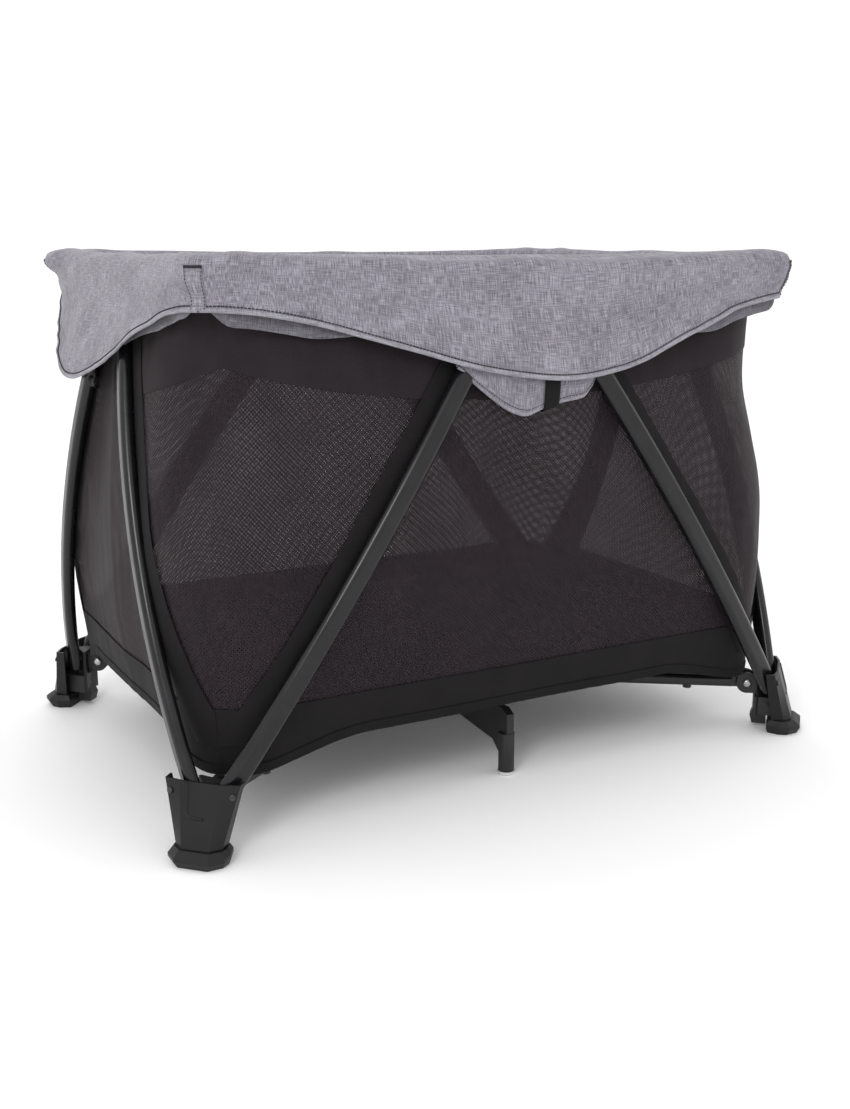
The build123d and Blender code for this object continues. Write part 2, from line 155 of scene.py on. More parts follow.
def half_run(side, size):
    half_x, half_y, radius = size
    half = half_x if side in LONG_SIDES else half_y
    return half - radius + radius * math.pi / 4


def finish_mesh(name, verts, faces, material, smooth=True):
    mesh = bpy.data.meshes.new(name)
    mesh.from_pydata([tuple(v) for v in verts], [], faces)
    mesh.validate()
    mesh.update()
    mesh.materials.append(material)
    mesh.polygons.foreach_set("use_smooth", [smooth] * len(mesh.polygons))
    piece = bpy.data.objects.new(name, mesh)
    bpy.context.scene.collection.objects.link(piece)
    return piece


def cloth(name, across, down, place, cut, material):
    """A grid of cloth: place(a, b) is a point for a and b from 0 to 1, and cut is its flat size."""
    spots = [(i / across, j / down) for j in range(down + 1) for i in range(across + 1)]
    row = across + 1
    faces = [
        (j * row + i, j * row + i + 1, (j + 1) * row + i + 1, (j + 1) * row + i)
        for j in range(down)
        for i in range(across)
    ]
    piece = finish_mesh(name, [place(a, b) for a, b in spots], faces, material)
    layer = piece.data.uv_layers.new(name="cut")
    for loop in piece.data.loops:
        a, b = spots[loop.vertex_index]
        layer.data[loop.index].uv = (a * cut[0], b * cut[1])
    return piece


def thicken(piece, thickness, offset=1.0):
    """Thickness inward of the drawn surface, or outward with offset -1."""
    solid = piece.modifiers.new("thickness", "SOLIDIFY")
    solid.thickness, solid.offset = thickness, offset


def rounded(piece, width, segments=2):
    """Soft moulded edges on a piece whose faces meet at sharp angles."""
    weld = piece.modifiers.new("weld", "WELD")
    weld.merge_threshold = 0.00002
    bevel = piece.modifiers.new("bevel", "BEVEL")
    bevel.width, bevel.segments, bevel.limit_method = width, segments, "ANGLE"
    bevel.angle_limit = math.radians(28)
    bevel.harden_normals = True


def revolved(name, centre, axis, profile, material, steps=24):
    """A small turned piece, such as a rivet or a screw head: profile is (radius, height along axis)."""
    axis = Vector(axis).normalized()
    side = axis.orthogonal().normalized()
    other = axis.cross(side)
    verts, faces = [], []
    for radius, height in profile:
        for n in range(steps):
            angle = 2 * math.pi * n / steps
            spoke = side * math.cos(angle) + other * math.sin(angle)
            verts.append(Vector(centre) + axis * height + spoke * radius)
    for ring in range(len(profile) - 1):
        for n in range(steps):
            m = (n + 1) % steps
            a, b = ring * steps, (ring + 1) * steps
            faces.append((a + n, a + m, b + m, b + n))
    faces.append(tuple(reversed(range(steps))))
    faces.append(tuple(range((len(profile) - 1) * steps, len(profile) * steps)))
    return finish_mesh(name, verts, faces, material)


def stitches(name, line, normals, pitch, material, length=0.6, radius=0.00045):
    """A row of sewn stitches along a line of points, each a small raised dash."""
    verts, faces = [], []
    gone, start, drawing = 0.0, None, True
    for (a, b), normal in zip(zip(line, line[1:]), normals):
        gone += (b - a).length
        if start is None:
            start = a
        if gone < pitch * (length if drawing else 1 - length):
            continue
        if drawing:
            along = (b - start).normalized()
            across = along.cross(normal).normalized() * radius
            lift = normal.normalized() * radius
            base = len(verts)
            for end, shrink in ((start, 0.5), (b, 0.5)):
                for side in (across, lift * 1.6, -across, -lift):
                    verts.append(end + side * (0.5 + shrink))
            faces += [
                (base + k, base + (k + 1) % 4, base + 4 + (k + 1) % 4, base + 4 + k) for k in range(4)
            ]
            faces += [(base + 3, base + 2, base + 1, base), (base + 4, base + 5, base + 6, base + 7)]
        gone, start, drawing = 0.0, None, not drawing
    return finish_mesh(name, verts, faces, material, smooth=False)


# ------------------------------------------------------------------ materials
def new_material(name, colour, roughness, **inputs):
    material = bpy.data.materials.new(name)
    material.use_nodes = True
    shader = material.node_tree.nodes["Principled BSDF"]
    shader.inputs["Base Color"].default_value = (*colour, 1)
    shader.inputs["Roughness"].default_value = roughness
    for key, value in inputs.items():
        shader.inputs[key.replace("_", " ")].default_value = value
    return material, material.node_tree, shader


def add_node(tree, kind, inputs=None, **settings):
    node = tree.nodes.new(kind)
    for key, value in settings.items():
        setattr(node, key, value)
    for key, value in (inputs or {}).items():
        if isinstance(value, bpy.types.NodeSocket):
            tree.links.new(value, node.inputs[key])
        else:
            node.inputs[key].default_value = value
    return node


def noise_of(tree, coordinate, stretch, detail=2.0):
    spread = add_node(tree, "ShaderNodeMapping", {"Vector": coordinate, "Scale": stretch})
    return add_node(
        tree, "ShaderNodeTexNoise", {"Vector": spread.outputs[0], "Scale": 1.0, "Detail": detail}
    ).outputs["Fac"]


def ramp_of(tree, value, stops):
    ramp = add_node(tree, "ShaderNodeValToRGB", {"Fac": value})
    while len(ramp.color_ramp.elements) < len(stops):
        ramp.color_ramp.elements.new(0.5)
    for element, (place, colour) in zip(ramp.color_ramp.elements, stops):
        element.position, element.color = place, (*colour, 1)
    return ramp.outputs["Color"]


def math_of(tree, operation, a, b=0.0):
    return add_node(tree, "ShaderNodeMath", {0: a, 1: b}, operation=operation).outputs[0]


def sum_of(tree, a, a_share, b, b_share):
    """Two values added up, each times its share."""
    first = math_of(tree, "MULTIPLY", a, a_share)
    return math_of(tree, "ADD", first, math_of(tree, "MULTIPLY", b, b_share))


def range_of(tree, value, low, high, to_low, to_high):
    return add_node(
        tree, "ShaderNodeMapRange",
        {"Value": value, "From Min": low, "From Max": high, "To Min": to_low, "To Max": to_high},
    ).outputs[0]


def bump_of(tree, shader, height, strength, distance):
    bump = add_node(
        tree, "ShaderNodeBump", {"Height": height, "Strength": strength, "Distance": distance}
    )
    tree.links.new(bump.outputs[0], shader.inputs["Normal"])


def heather(name, dark, middle, light):
    """Melange canvas: slubby threads both ways, each a little lighter or darker than the next."""
    material, tree, shader = new_material(
        name, middle, 0.86, Sheen_Weight=0.18, Sheen_Roughness=0.5, Specular_IOR_Level=0.25
    )
    cut = add_node(tree, "ShaderNodeUVMap", uv_map="cut").outputs[0]
    upright = noise_of(tree, cut, (760, 44, 1), 3.0)
    level = noise_of(tree, cut, (50, 820, 1), 3.0)
    patches = noise_of(tree, cut, (17, 15, 1), 3.0)
    threads = sum_of(tree, upright, 0.46, level, 0.40)
    mixed = math_of(tree, "ADD", threads, math_of(tree, "MULTIPLY", patches, 0.14))
    colour = ramp_of(tree, mixed, ((0.385, dark), (0.50, middle), (0.615, light)))
    tree.links.new(colour, shader.inputs["Base Color"])
    weave = noise_of(tree, cut, (1500, 1500, 1), 1.0)
    height = math_of(tree, "ADD", math_of(tree, "MULTIPLY", weave, 0.5), threads)
    bump_of(tree, shader, height, 0.35, 0.0006)
    return material


def woven(name, colour, sheen=0.05, rough=0.8):
    """Plain black binding and reinforcing cloth with a fine rib."""
    material, tree, shader = new_material(
        name, colour, rough, Sheen_Weight=sheen, Sheen_Roughness=0.4, Specular_IOR_Level=0.2
    )
    cut = add_node(tree, "ShaderNodeUVMap", uv_map="cut").outputs[0]
    fibre = noise_of(tree, cut, (900, 260, 1), 2.0)
    cloudy = noise_of(tree, cut, (18, 14, 1), 3.0)
    tone = sum_of(tree, fibre, 0.5, cloudy, 0.5)
    dark, light = [c * 0.6 for c in colour], [c * 1.5 for c in colour]
    tree.links.new(ramp_of(tree, tone, ((0.3, dark), (0.7, light))), shader.inputs["Base Color"])
    bump_of(tree, shader, fibre, 0.3, 0.0004)
    return material


def net_material(name, colour, pitch, open_share):
    """Warp-knitted net: rows of small staggered holes between shiny dark threads."""
    material, tree, shader = new_material(
        name, colour, 0.62, Sheen_Weight=0.04, Sheen_Roughness=0.35, Specular_IOR_Level=0.14
    )
    cut = add_node(tree, "ShaderNodeUVMap", uv_map="cut").outputs[0]
    turned = add_node(
        tree, "ShaderNodeMapping", {"Vector": cut, "Rotation": (0, 0, math.radians(45)), "Scale": (1, 1, 1)}
    )
    parts = add_node(tree, "ShaderNodeSeparateXYZ", {"Vector": turned.outputs[0]})
    wave = 2 * math.pi / pitch
    waves = [
        math_of(tree, "COSINE", math_of(tree, "MULTIPLY", parts.outputs[axis], wave)) for axis in (0, 1)
    ]
    halves = [math_of(tree, "ADD", math_of(tree, "MULTIPLY", w, 0.5), 0.5) for w in waves]
    dots = math_of(tree, "MULTIPLY", *halves)
    cloudy = noise_of(tree, cut, (9, 7, 1), 3.0)
    knit = noise_of(tree, cut, (420, 60, 1), 2.0)
    hole = range_of(tree, dots, 0.22, 0.75, 0.0, 1.0)
    slack = range_of(tree, cloudy, 0.3, 0.7, open_share * 0.7, open_share * 1.3)
    clear = math_of(tree, "MULTIPLY", hole, slack)
    tree.links.new(math_of(tree, "SUBTRACT", 0.97, clear), shader.inputs["Alpha"])
    tone = sum_of(tree, knit, 0.6, cloudy, 0.4)
    dark, light = [c * 0.6 for c in colour], [c * 1.6 for c in colour]
    tree.links.new(ramp_of(tree, tone, ((0.3, dark), (0.7, light))), shader.inputs["Base Color"])
    bump_of(tree, shader, dots, 0.3, 0.0005)
    return material


def moulded(name, colour, roughness, grain, bump=0.12, **inputs):
    """Moulded plastic, rubber or powder coat: a fine grain, faint cloudiness and rubbed patches."""
    material, tree, shader = new_material(name, colour, roughness, **inputs)
    place = add_node(tree, "ShaderNodeTexCoord").outputs["Object"]
    fine = noise_of(tree, place, (grain, grain, grain), 2.0)
    cloudy = noise_of(tree, place, (22, 22, 22), 4.0)
    dark, light = [c * 0.8 for c in colour], [c * 1.3 for c in colour]
    tree.links.new(ramp_of(tree, cloudy, ((0.35, dark), (0.65, light))), shader.inputs["Base Color"])
    rough = range_of(tree, cloudy, 0.3, 0.7, roughness - 0.06, roughness + 0.08)
    tree.links.new(rough, shader.inputs["Roughness"])
    bump_of(tree, shader, fine, bump, 0.0004)
    return material


HEATHER = heather("rim_heather", (0.095, 0.088, 0.106), (0.198, 0.186, 0.220), (0.345, 0.331, 0.376))
LINING = heather("lining_heather", (0.060, 0.056, 0.066), (0.125, 0.119, 0.138), (0.205, 0.198, 0.225))
# the hem rolls are the rim's own cloth: this lighter copy of its heather is painted highlight on the rolled
# edge
HEM_LIT_HEATHER = heather("hem_heather_painted_highlight", (0.14, 0.133, 0.155), (0.25, 0.242, 0.275), (0.38, 0.37, 0.41))
NET = net_material("net", (0.0150, 0.0100, 0.0128), 0.0037, 0.38)
BLACK_CLOTH = woven("black_cloth", (0.0060, 0.0050, 0.0055))
BAND_CLOTH = woven("band_cloth", (0.0140, 0.0098, 0.0124))
MATTRESS_CLOTH = woven("mattress_cloth", (0.0085, 0.0080, 0.0095))
BINDING = woven("binding", (0.0045, 0.0040, 0.0045), 0.03)
# thread colour for the stitches, also laid flat as painted shade in the corner channels' mouths
THREAD_AND_MOUTH_SHADE = woven("thread", (0.02, 0.019, 0.023), 0.03)
FRAME_COAT = moulded("frame_coat", (0.0055, 0.0055, 0.0065), 0.24, 1400, 0.04, Specular_IOR_Level=0.38)
CASING = moulded(
    "casing_plastic", (0.0052, 0.0046, 0.0050), 0.42, 1100, 0.14, Specular_IOR_Level=0.30
)
CORE = moulded("core_plastic", (0.0065, 0.0062, 0.0066), 0.55, 1100, 0.16)
RUBBER = moulded("foot_rubber", (0.0062, 0.0058, 0.0062), 0.5, 700, 0.2, Specular_IOR_Level=0.35)
ARM_COAT = moulded("arm_coat", (0.0060, 0.0060, 0.0065), 0.4, 1400, 0.05)
STEEL = moulded("rivet_steel", (0.42, 0.42, 0.43), 0.34, 900, 0.05, Metallic=1.0)
DARK_STEEL = moulded("screw_steel", (0.05, 0.05, 0.055), 0.4, 900, 0.05, Metallic=0.6)
PALE_CAP = moulded("pale_cap", (0.45, 0.45, 0.45), 0.5, 700, 0.1)


# ------------------------------------------------------------------ the frame keeps its CAD shapes
def coat_frame():
    coats = {
        "foot_pad": (RUBBER, 0.0016), "foot_casing": (CASING, 0.0008), "foot_core": (CORE, 0.0010),
        "long_tube": (FRAME_COAT, 0), "short_tube": (FRAME_COAT, 0), "long_rail": (FRAME_COAT, 0),
        "short_rail": (FRAME_COAT, 0), "rail_corner": (CORE, 0), "floor_arm": (ARM_COAT, 0.0006),
        "rail_joint": (CORE, 0.0010), "lock_button": (CASING, 0.0006), "centre_leg_tip": (PALE_CAP, 0),
        "centre_leg": (CORE, 0.0012), "hub_body": (CORE, 0.0010), "hub_cover": (CASING, 0),
    }
    for node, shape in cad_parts.items():
        kind = next((k for k in sorted(coats, key=len, reverse=True) if node.startswith(k)), None)
        if kind is None:
            continue
        material, edge = coats[kind]
        shape.data.materials.clear()
        shape.data.materials.append(material)
        if edge:
            rounded(shape, edge)


# ------------------------------------------------------------------ net walls
def hem_height(side, along):
    """The walls' lower edge arches up between the feet."""
    reach = abs(along) / HALF[side]
    return blended(0.130, 0.096, between(reach, 0.55, 0.96)) + 0.004 * between(reach, 0.97, 1.06)


def band_height(side, along):
    """Lower edge of the opaque band under the rim."""
    return 0.570 + 0.055 * min(1.0, (along / HALF[side]) ** 2)


def tube_along(side, z):
    low, high = TUBE_RUN[side]
    return blended(low, high, (z - TUBE_LOW) / (TUBE_HIGH - TUBE_LOW))


def wall_ripple(spot):
    """Slack and puckers of the stretched net, by place, so that neighbouring sides still meet."""
    slack = noise.noise(Vector((spot.x * 6, spot.y * 6, spot.z * 4))) * 0.0035
    pucker = noise.noise(Vector((spot.x * 48, spot.y * 48, spot.z * 9 + 3))) * 0.0009
    return slack + pucker


def wall_point(side, q, z, lift=0.0):
    size = ring_at(WALL_RING, z)
    along = abs(q) * half_run(side, size)
    tube = tube_along(side, z)
    sag = 0.006 * math.sin(math.pi * min(1.0, along / max(tube, 0.02))) if z < TUBE_HIGH else 0
    sag *= between(z, 0.10, 0.24)
    ripple = wall_ripple(on_ring(side, size, q, z))
    return on_ring(side, size, q, z, lift - sag + ripple - 0.0015)


def wall_strip(name, side, low, high, q_low, q_high, cut, material, lift, across=24, down=48, belly=0.0):
    """A strip of the wall between two heights and two shares of the side, each a function."""
    def place(a, b):
        q_guess = blended(q_low(WALL_MIDDLE), q_high(WALL_MIDDLE), a)
        along = q_guess * half_run(side, ring_at(WALL_RING, WALL_MIDDLE))
        z = blended(low(along), high(along), b)
        q = blended(q_low(z), q_high(z), a)
        return wall_point(side, q, z, lift + belly * 4 * a * (1 - a))
    return cloth(name, across, down, place, cut, material)


def wall_cloth(side):
    """The net, the black band under the rim, the lower border with its binding, and the tube strips."""
    joint = f"joint_{side}"
    width = 2 * half_run(side, ring_at(WALL_RING, 0.33))
    across = 120 if side in LONG_SIDES else 90

    def at_hem(along):
        return hem_height(side, along)

    net = wall_strip(
        f"net_{side}", side, at_hem, lambda along: WALL_TOP, lambda z: -1, lambda z: 1,
        (width, WALL_TOP - 0.13),
        NET, 0, across, 64,
    )
    pieces = []
    pieces.append(wall_strip(
        f"band_{side}", side, lambda along: band_height(side, along), lambda along: WALL_TOP, lambda z: -1,
        lambda z: 1, (width, 0.15), BAND_CLOTH, 0.0014, across, 14,
    ))
    pieces.append(wall_strip(
        f"border_{side}", side, lambda along: at_hem(along) + 0.006, lambda along: 0.188, lambda z: -1,
        lambda z: 1, (width, 0.075), BLACK_CLOTH, 0.0022, across, 10,
    ))
    pieces.append(wall_strip(
        f"binding_{side}", side, lambda along: at_hem(along) - 0.002, lambda along: at_hem(along) + 0.012,
        lambda z: -1, lambda z: 1, (width, 0.014), BINDING, 0.0038, across, 6,
    ))
    for word, sign in (("left", -1), ("right", 1)):
        inner, outer = -0.014, 0.044

        def edge(shift, sign=sign):
            def q(z):
                size = ring_at(WALL_RING, z)
                base = share_at(side, size, tube_along(side, z)) * half_run(side, size)
                return sign * min(1.0, (base + shift) / half_run(side, size))
            return q

        pieces.append(wall_strip(
            f"strip_{side}_{word}", side, lambda along: at_hem(along) + 0.008, lambda along: 0.66,
            edge(inner), edge(outer), (0.058, 0.55), BLACK_CLOTH, 0.0030, 8, 80, 0.0015,
        ))
    for piece in [net, *pieces]:
        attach(piece, joint)
        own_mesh(piece)
    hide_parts(f"wall_{side}")


# ------------------------------------------------------------------ rim and flap
def flap_hem(side, along):
    """How low the outer flap hangs: least at the corners, and most near the middle of its side."""
    deepest, lowest_at = FLAP_LOW[side]
    apart = along - lowest_at
    reach = min(1.0, abs(apart) / (HALF[side] - math.copysign(1, apart) * lowest_at))
    wobble = noise.noise(Vector((along * 9, SIDES.index(side) * 4.1, 0.7))) * 0.004
    return blended(deepest, CORNER_HEM, between(reach, 0, 1)) + wobble * between(reach, 1.0, 0.7)


def rim_sag(side, along):
    reach = min(1.0, abs(along) / HALF[side])
    over_joint = math.exp(-((along / 0.050) ** 2))
    over_corner = math.exp(-(((abs(along) - HALF[side] + 0.03) / 0.022) ** 2))
    depth = 0.0105 if side in LONG_SIDES else 0.006
    return depth * math.cos(reach * math.pi / 2) ** 2 - 0.0048 * over_joint - 0.0022 * over_corner


def flap_ripple(side, spot, along, free):
    """Soft waves of the hanging flap, growing toward its free edge, and fine creases near the corners."""
    wave = noise.noise(Vector((spot.x * 11, spot.y * 11, spot.z * 13 + 1.3))) * 0.0060
    crease = noise.noise(Vector((spot.x * 15, spot.y * 15, spot.z * 70 + 5.3))) * 0.0040
    near_corner = between(abs(along), 0.45 * HALF[side], 0.85 * HALF[side])
    pinch = 0.0055 * near_corner * math.exp(-(((spot.z - 0.672) / 0.020) ** 2))
    return (wave + crease * (0.5 + near_corner)) * (0.35 + 0.65 * free) - pinch


def ear_pull(spot, share):
    """How far the pulled corner moves a point of the rim, less and less down the flap and over the rail."""
    apart = (Vector((spot.x, spot.y, 0)) - EAR).length / EAR_REACH
    return EAR.normalized() * EAR_OUT * math.exp(-apart * apart) * share


def rim_place(side):
    """The rim's surface: a along the side, and b from the inner hem over the rail and down the flap."""
    over = len(RIM_OVER) - 1

    def place(a, b):
        q = 2 * a - 1
        mid = half_run(side, ring_at(FLAP_RING, 0.70)) * q
        if b < OVER_SHARE:
            t = (1 - b / OVER_SHARE) * over
            k = min(int(t), over - 1)
            inward = blended(RIM_OVER[k][0], RIM_OVER[k + 1][0], t - k)
            z = blended(RIM_OVER[k][1], RIM_OVER[k + 1][1], t - k)
            half_x, half_y, radius = ring_at(FLAP_RING, RIM_EDGE)
            size = (half_x - inward, half_y - inward, max(radius - inward, 0.030))
            spot = on_ring(side, size, q, z)
            soft = noise.noise(Vector((spot.x * 14, spot.y * 14, spot.z * 20))) * 0.0022
            slack = 1 - 0.75 * between(inward, 0.018, 0.040)  # the rail holds the cloth up from within
            spot += ear_pull(spot, between(inward, 0.034, 0.0))
            return spot + Vector((0, 0, (soft - rim_sag(side, mid)) * slack))
        t = (b - OVER_SHARE) / (1 - OVER_SHARE)
        z = blended(RIM_EDGE - rim_sag(side, mid), flap_hem(side, mid), t)
        size = ring_at(FLAP_RING, z)
        tuck = 0.010 * between(abs(mid), 0.72 * HALF[side], 1.02 * HALF[side]) * between(t, 0.25, 0.9)
        ripple = flap_ripple(side, on_ring(side, size, q, z), mid, t)
        spot = on_ring(side, size, q, z, ripple * between(t, 0, 0.12) - tuck)
        return spot + ear_pull(spot, between(t, 0.55, 0.0))

    return place


def lining_cloth(side):
    """The flap's own lining, which shows below the hem near the corners."""
    across = 110 if side in LONG_SIDES else 80
    run = 2 * half_run(side, ring_at(FLAP_RING, 0.70))

    def place(a, b):
        q = 2 * a - 1
        along = run / 2 * q
        reach = abs(along) / HALF[side]
        starts, full = (0.44, 0.72) if side in LONG_SIDES else (0.25, 0.70)
        shown = between(reach, starts, full) * between(reach, 1.06, 0.92)
        low = flap_hem(side, along) + 0.012 - (0.030 if side in LONG_SIDES else 0.021) * shown
        z = blended(0.735, low, b)
        wave = noise.noise(Vector((along * 30, b * 2, SIDES.index(side) + 9.1))) * 0.003 * b
        return on_ring(side, ring_at(FLAP_RING, z), q, z, wave - 0.010 - 0.006 * b)

    piece = cloth(f"flap_lining_{side}", across, 20, place, (run, 0.10), LINING)
    thicken(piece, 0.0016)
    return piece


# along the side, and the height of the tongue's lower edge there
TONGUE = (
    (-0.124, 0.620), (-0.098, 0.598), (-0.072, 0.578), (-0.045, 0.560), (-0.016, 0.5505),
    (0.011, 0.558), (0.043, 0.5655), (0.080, 0.571), (0.094, 0.587), (0.102, 0.604),
)
TONGUE_TOP = 0.632


def tongue_point(side, a, b, lift=0.0):
    """The padded tab that hangs between the tubes: a across it, b down it."""
    k = a * (len(TONGUE) - 1)
    n = min(int(k), len(TONGUE) - 2)
    t = k - n
    before, after = TONGUE[max(n - 1, 0)][1], TONGUE[min(n + 2, len(TONGUE) - 1)][1]
    start, end = TONGUE[n][1], TONGUE[n + 1][1]
    along = blended(TONGUE[n][0], TONGUE[n + 1][0], t)
    low = start + (end - before) * t / 2 + (2 * before - 5 * start + 4 * end - after) * t**2 / 2
    low += (3 * start - before - 3 * end + after) * t**3 / 2
    z = blended(TONGUE_TOP, low, b)
    puff = 0.004 * math.sin(math.pi * a) ** 0.5 * math.sin(math.pi * min(1.0, 0.15 + 0.85 * b)) ** 0.5
    out = ring_at(WALL_RING, 0.62)[1] + 0.021
    return to_world(side, along, out + puff + lift, z)


def tongue_cloth(side):
    piece = cloth(
        f"tongue_{side}", 48, 24, lambda a, b: tongue_point(side, a, b), (0.23, 0.10), HEATHER
    )
    thicken(piece, 0.004)
    line = [tongue_point(side, n / 300, 0.93, 0.0006) for n in range(301)]
    outward = to_world(side, 0, 1, 0)
    sewn = stitches(f"tongue_stitch_{side}", line, [outward] * 300, STITCH_PITCH, THREAD_AND_MOUTH_SHADE)
    edge = [tongue_point(side, n / 60, 1.0) for n in range(61)]

    def roll(a, b):
        k = a * 60
        n = min(int(k), 59)
        spot = edge[n].lerp(edge[n + 1], k - n)
        turn = 2 * math.pi * b
        lift = Vector((0, 0, 0.0032 * math.sin(turn)))
        return spot - outward * 0.002 + outward * 0.0032 * math.cos(turn) + lift

    # the tab's hem roll takes the lighter heather copy, painted highlight on the rolled edge
    hem = cloth(f"tongue_hem_{side}", 60, 8, roll, (0.22, 0.017), HEM_LIT_HEATHER)

    def loop_point(a, b):
        """An elastic band that runs down over the tab and turns under its edge."""
        across = blended(0.553, 0.640, a)
        if b < 0.75:
            return tongue_point(side, across, 0.35 + 0.68 * b / 0.75, 0.0022)
        turn = (b - 0.75) / 0.25
        spot = tongue_point(side, across, 1.03, 0.0022)
        return spot - outward * 0.009 * turn - Vector((0, 0, 0.003 * math.sin(math.pi * turn)))

    loop = cloth(f"elastic_loop_{side}", 6, 24, loop_point, (0.024, 0.09), BINDING)
    thicken(loop, 0.0012, -1.0)
    return [piece, sewn, hem, loop]


def corner_tab(side, end):
    """Half of the sewn channel that runs down the rim's corner, to the end of one side."""
    place = rim_place(side)
    width = 0.0125 / (2 * half_run(side, ring_at(FLAP_RING, 0.72)))
    outward = to_world(side, end * 0.7, 0.7, 0).normalized()

    def strip(a, b):
        share = 1 - width * (1 - a) if end > 0 else width * (1 - a)
        return place(share, blended(0.385, 0.995, b)) + outward * 0.0016

    word = "right" if end > 0 else "left"
    piece = cloth(f"corner_channel_{side}_{word}", 5, 30, strip, (0.0125, 0.07), HEATHER)
    line = [strip(0.12, n / 60) + outward * 0.0004 for n in range(61)]
    sewn = stitches(f"corner_stitch_{side}_{word}", line, [outward] * 60, STITCH_PITCH, THREAD_AND_MOUTH_SHADE)

    # the channel's mouth: a flat patch in thread colour just outward of the strip's top, painted shade of
    # the opening
    def shaded_slot(a, b):
        return strip(a, 0.0) + outward * 0.0006 + Vector((0, 0, 0.0022 - 0.0034 * b))

    mouth = cloth(f"corner_mouth_{side}_{word}", 5, 3, shaded_slot, (0.0125, 0.0034), THREAD_AND_MOUTH_SHADE)
    return [piece, sewn, mouth]


def rim_cloth(side):
    place = rim_place(side)
    across = 180 if side in LONG_SIDES else 130
    run = 2 * half_run(side, ring_at(FLAP_RING, 0.70))
    joint = f"joint_{side}"
    rim = cloth(f"rim_{side}", across, RIM_ROWS, place, (run, RIM_CUT), HEATHER)
    thicken(rim, 0.0022)
    outward = to_world(side, 0, 1, 0)

    def roll(a, b):
        """The turned edge: a small roll of the same cloth along the hem, coloured with a lighter copy of
        the rim's heather as painted highlight.
        """
        turn = 2 * math.pi * b
        spot = place(a, 1.0)
        above = place(a, 0.985)
        down = (spot - above).normalized()
        return spot - down * 0.0015 + outward * 0.0024 * math.cos(turn) + down * 0.0034 * math.sin(turn)

    hem = cloth(f"rim_hem_{side}", across, 8, roll, (run, 0.017), HEM_LIT_HEATHER)
    knots = []
    for n in range(across + 1):
        drop = RIM_EDGE - flap_hem(side, run / 2 * (2 * n / across - 1))
        knots.append(place(n / across, 1 - (1 - OVER_SHARE) * HEM_INSET / drop) + outward * 0.0008)
    line = [a.lerp(b, n / 10) for a, b in zip(knots, knots[1:]) for n in range(10)]
    sewn = stitches(f"rim_stitch_{side}", line, [outward] * len(line), STITCH_PITCH, THREAD_AND_MOUTH_SHADE, 0.72, 0.0007)
    rows = [sewn, lining_cloth(side), *corner_tab(side, -1), *corner_tab(side, 1)]
    rows += tongue_cloth(side) if side in LONG_SIDES else []
    for piece in [rim, hem, *rows]:
        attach(piece, joint)
        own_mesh(piece)
    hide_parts(f"rim_flap_{side}")


# ------------------------------------------------------------------ floor cloth and mattress
def floor_cloth(quarter, side_x, side_y):
    """A quarter of the bottom, carried by its folding arm."""
    half_x, half_y, radius = 0.4815, 0.3298, 0.10

    def place(a, b):
        x, y = a * half_x, b * half_y
        over_x, over_y = max(0, x - half_x + radius), max(0, y - half_y + radius)
        reach = math.hypot(over_x, over_y)
        if reach > radius:
            x -= over_x * (1 - radius / reach)
            y -= over_y * (1 - radius / reach)
        z = 0.1285 + 0.0012 * noise.noise(Vector((x * 12, y * 12, 3)))
        return Vector((side_x * x, side_y * y, z))

    piece = cloth(f"floor_cloth_{quarter}", 30, 24, place, (half_x, half_y), BLACK_CLOTH)
    thicken(piece, 0.0016, 0.0)
    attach(piece, f"arm_{quarter}")
    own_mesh(piece)
    return piece


def mattress_pad():
    """A quilted pad in four parts: each part is crowned, with sewn lines across it."""
    half_x, half_y, radius = 0.461, 0.312, 0.10
    low, high = 0.1318, 0.1565
    parts, rows = 4, 6
    across, deep = 168, 108
    verts, faces, spots = [], [], []
    for top in (1, 0):
        for j in range(deep + 1):
            for i in range(across + 1):
                u, v = 2 * i / across - 1, 2 * j / deep - 1
                x, y = u * half_x, v * half_y
                over_x, over_y = max(0, abs(x) - half_x + radius), max(0, abs(y) - half_y + radius)
                reach = math.hypot(over_x, over_y)
                if reach > radius:
                    x -= math.copysign(over_x * (1 - radius / reach), x)
                    y -= math.copysign(over_y * (1 - radius / reach), y)
                edge = min(1.0, 10 * (1 - max(abs(u), abs(v), min(1, reach / radius))))
                crown = math.sqrt(max(0.0, 1 - (1 - edge) ** 2))
                fold = abs(math.sin(math.pi * (u + 1) / 2 * parts))
                quilt = abs(math.sin(math.pi * (v + 1) / 2 * rows))
                quilt *= abs(math.sin(math.pi * (u + 1) / 2 * 2 * parts))
                full = 0.42 + 0.58 * min(1, 5 * fold) ** 0.5
                height = low + 0.006 + (high - low - 0.008) * crown * full
                height += 0.0022 * quilt**0.5 * crown
                verts.append(Vector((x, y, min(high, height) if top else low + 0.004 * (1 - crown))))
                spots.append((x, y))
    row, sheet = across + 1, (across + 1) * (deep + 1)
    for j in range(deep):
        for i in range(across):
            a, b, c, d = j * row + i, j * row + i + 1, (j + 1) * row + i + 1, (j + 1) * row + i
            faces.append((a, b, c, d))
            faces.append((sheet + d, sheet + c, sheet + b, sheet + a))
    rim = [i for i in range(across)] + [j * row + across for j in range(deep)]
    rim += [deep * row + i for i in range(across, 0, -1)] + [j * row for j in range(deep, 0, -1)]
    for a, b in zip(rim, rim[1:] + rim[:1]):
        faces.append((b, a, sheet + a, sheet + b))
    piece = finish_mesh("mattress_pad", verts, faces, MATTRESS_CLOTH)
    layer = piece.data.uv_layers.new(name="cut")
    for loop in piece.data.loops:
        layer.data[loop.index].uv = spots[loop.vertex_index]
    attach(piece, "mattress")
    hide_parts("mattress")


